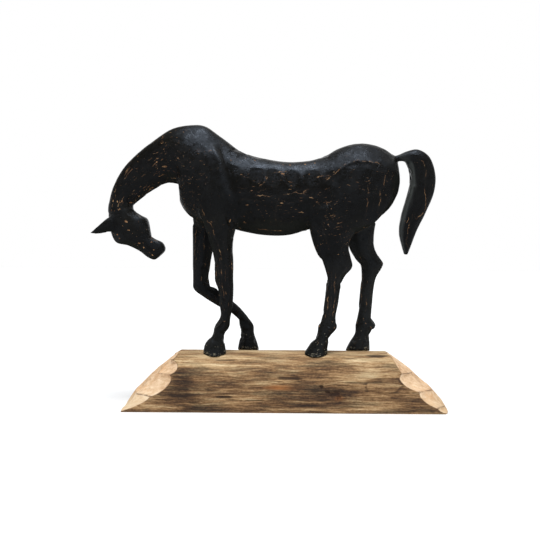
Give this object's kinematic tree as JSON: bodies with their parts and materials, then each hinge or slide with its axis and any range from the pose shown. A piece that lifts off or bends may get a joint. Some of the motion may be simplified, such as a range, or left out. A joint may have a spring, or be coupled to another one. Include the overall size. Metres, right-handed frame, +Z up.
{
  "type": "horse sculpture",
  "caption": "Carved wooden horse with a bowed neck and crossed forelegs, painted black and rubbed through, standing on a split half log with hewn ends.",
  "frame": {"origin": "centre of the log's flat underside", "axes": "+Z up, the horse faces -X, its near side is -Y, the log runs along X"},
  "size_m": [0.4964, 0.124, 0.3932],
  "materials": {
    "black_painted_wood": "satin black paint rubbed through to brown wood on the tool ridges",
    "weathered_log": "dry weathered grain, pale fresh gouge cuts at both ends"
  },
  "bodies": {
    "root": {"horse": "black_painted_wood", "log_base": "weathered_log"}
  },
  "joints": []
}
